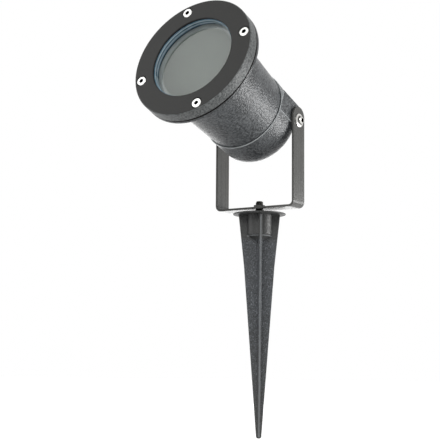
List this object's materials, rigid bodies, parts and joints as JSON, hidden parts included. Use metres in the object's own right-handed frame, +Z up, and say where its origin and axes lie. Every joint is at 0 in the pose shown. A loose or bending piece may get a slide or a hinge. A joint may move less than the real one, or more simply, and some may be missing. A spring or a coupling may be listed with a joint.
{
  "type": "garden spike spotlight",
  "caption": "Garden spotlight: a round tilting head with a frosted glass front in a U-shaped yoke that swivels on a finned ground spike.",
  "frame": {"origin": "soil level on the spike's axis, at the underside of the spike's flange", "axes": "+Z up along the spike and the swivel stud, +X along the head's tilt axis, the head looks towards -Y"},
  "size_m": [0.09, 0.1241, 0.2933],
  "materials": {
    "textured_paint": "textured dark grey powder coat on die-cast aluminium",
    "bezel_paint": "satin dark charcoal powder coat on die-cast aluminium",
    "strip_paint": "satin dark grey powder coat on steel strip",
    "spike_plastic": "granular dark grey moulded nylon",
    "stainless": "polished stainless steel",
    "black_steel": "blackened steel",
    "frosted_glass": "toughened glass, frosted on its back",
    "blue_grey_silicone": "blue-grey silicone",
    "black_rubber": "black rubber",
    "lamp_glass": "lamp glass",
    "mirror_reflector": "coated lamp reflector",
    "ceramic": "glazed steatite ceramic",
    "zinc_steel": "zinc-plated steel",
    "brass": "bright brass",
    "white_nylon": "natural white nylon",
    "black_nylon": "black nylon",
    "brown_silicone": "brown silicone insulation",
    "blue_silicone": "blue silicone insulation",
    "green_silicone": "green and yellow silicone insulation",
    "grey_fibre": "dark grey fibre"
  },
  "bodies": {
    "spike": {"ground_spike": "spike_plastic", "mounting_stud": "black_steel"},
    "yoke": {"yoke": "strip_paint"},
    "head": {"housing": "textured_paint", "bezel_ring": "bezel_paint", "bezel_screws": "stainless", "front_glass": "frosted_glass", "glass_seal": "blue_grey_silicone", "glass_seat_ring": "black_rubber", "body_gasket": "black_rubber", "lamp_body": "mirror_reflector", "lamp_lens": "lamp_glass", "lamp_pins": "zinc_steel", "lampholder": "ceramic", "holder_plate": "zinc_steel", "holder_screws": "zinc_steel", "plate_screws": "zinc_steel", "terminal_block": "white_nylon", "terminal_tubes": "brass", "clamp_screws": "zinc_steel", "block_screws": "zinc_steel", "live_lead": "brown_silicone", "neutral_lead": "blue_silicone", "earth_lead": "green_silicone", "earth_tag": "zinc_steel", "earth_screw": "brass", "gland_body": "black_nylon", "gland_seal": "black_rubber", "gland_nut": "black_nylon", "gland_locknut": "black_nylon", "friction_washers": "grey_fibre", "pivot_screws": "stainless"}
  },
  "joints": [
    {"name": "yoke_swivel", "type": "hinge", "parent": "spike", "child": "yoke", "pos_m": [0, 0, 0.0051], "axis": [0, 0, 1], "continuous": true},
    {"name": "head_tilt", "type": "hinge", "parent": "yoke", "child": "head", "pos_m": [0, 0, 0.0643], "axis": [-1, 0, 0], "range_deg": [-61.5, 113.5]}
  ]
}
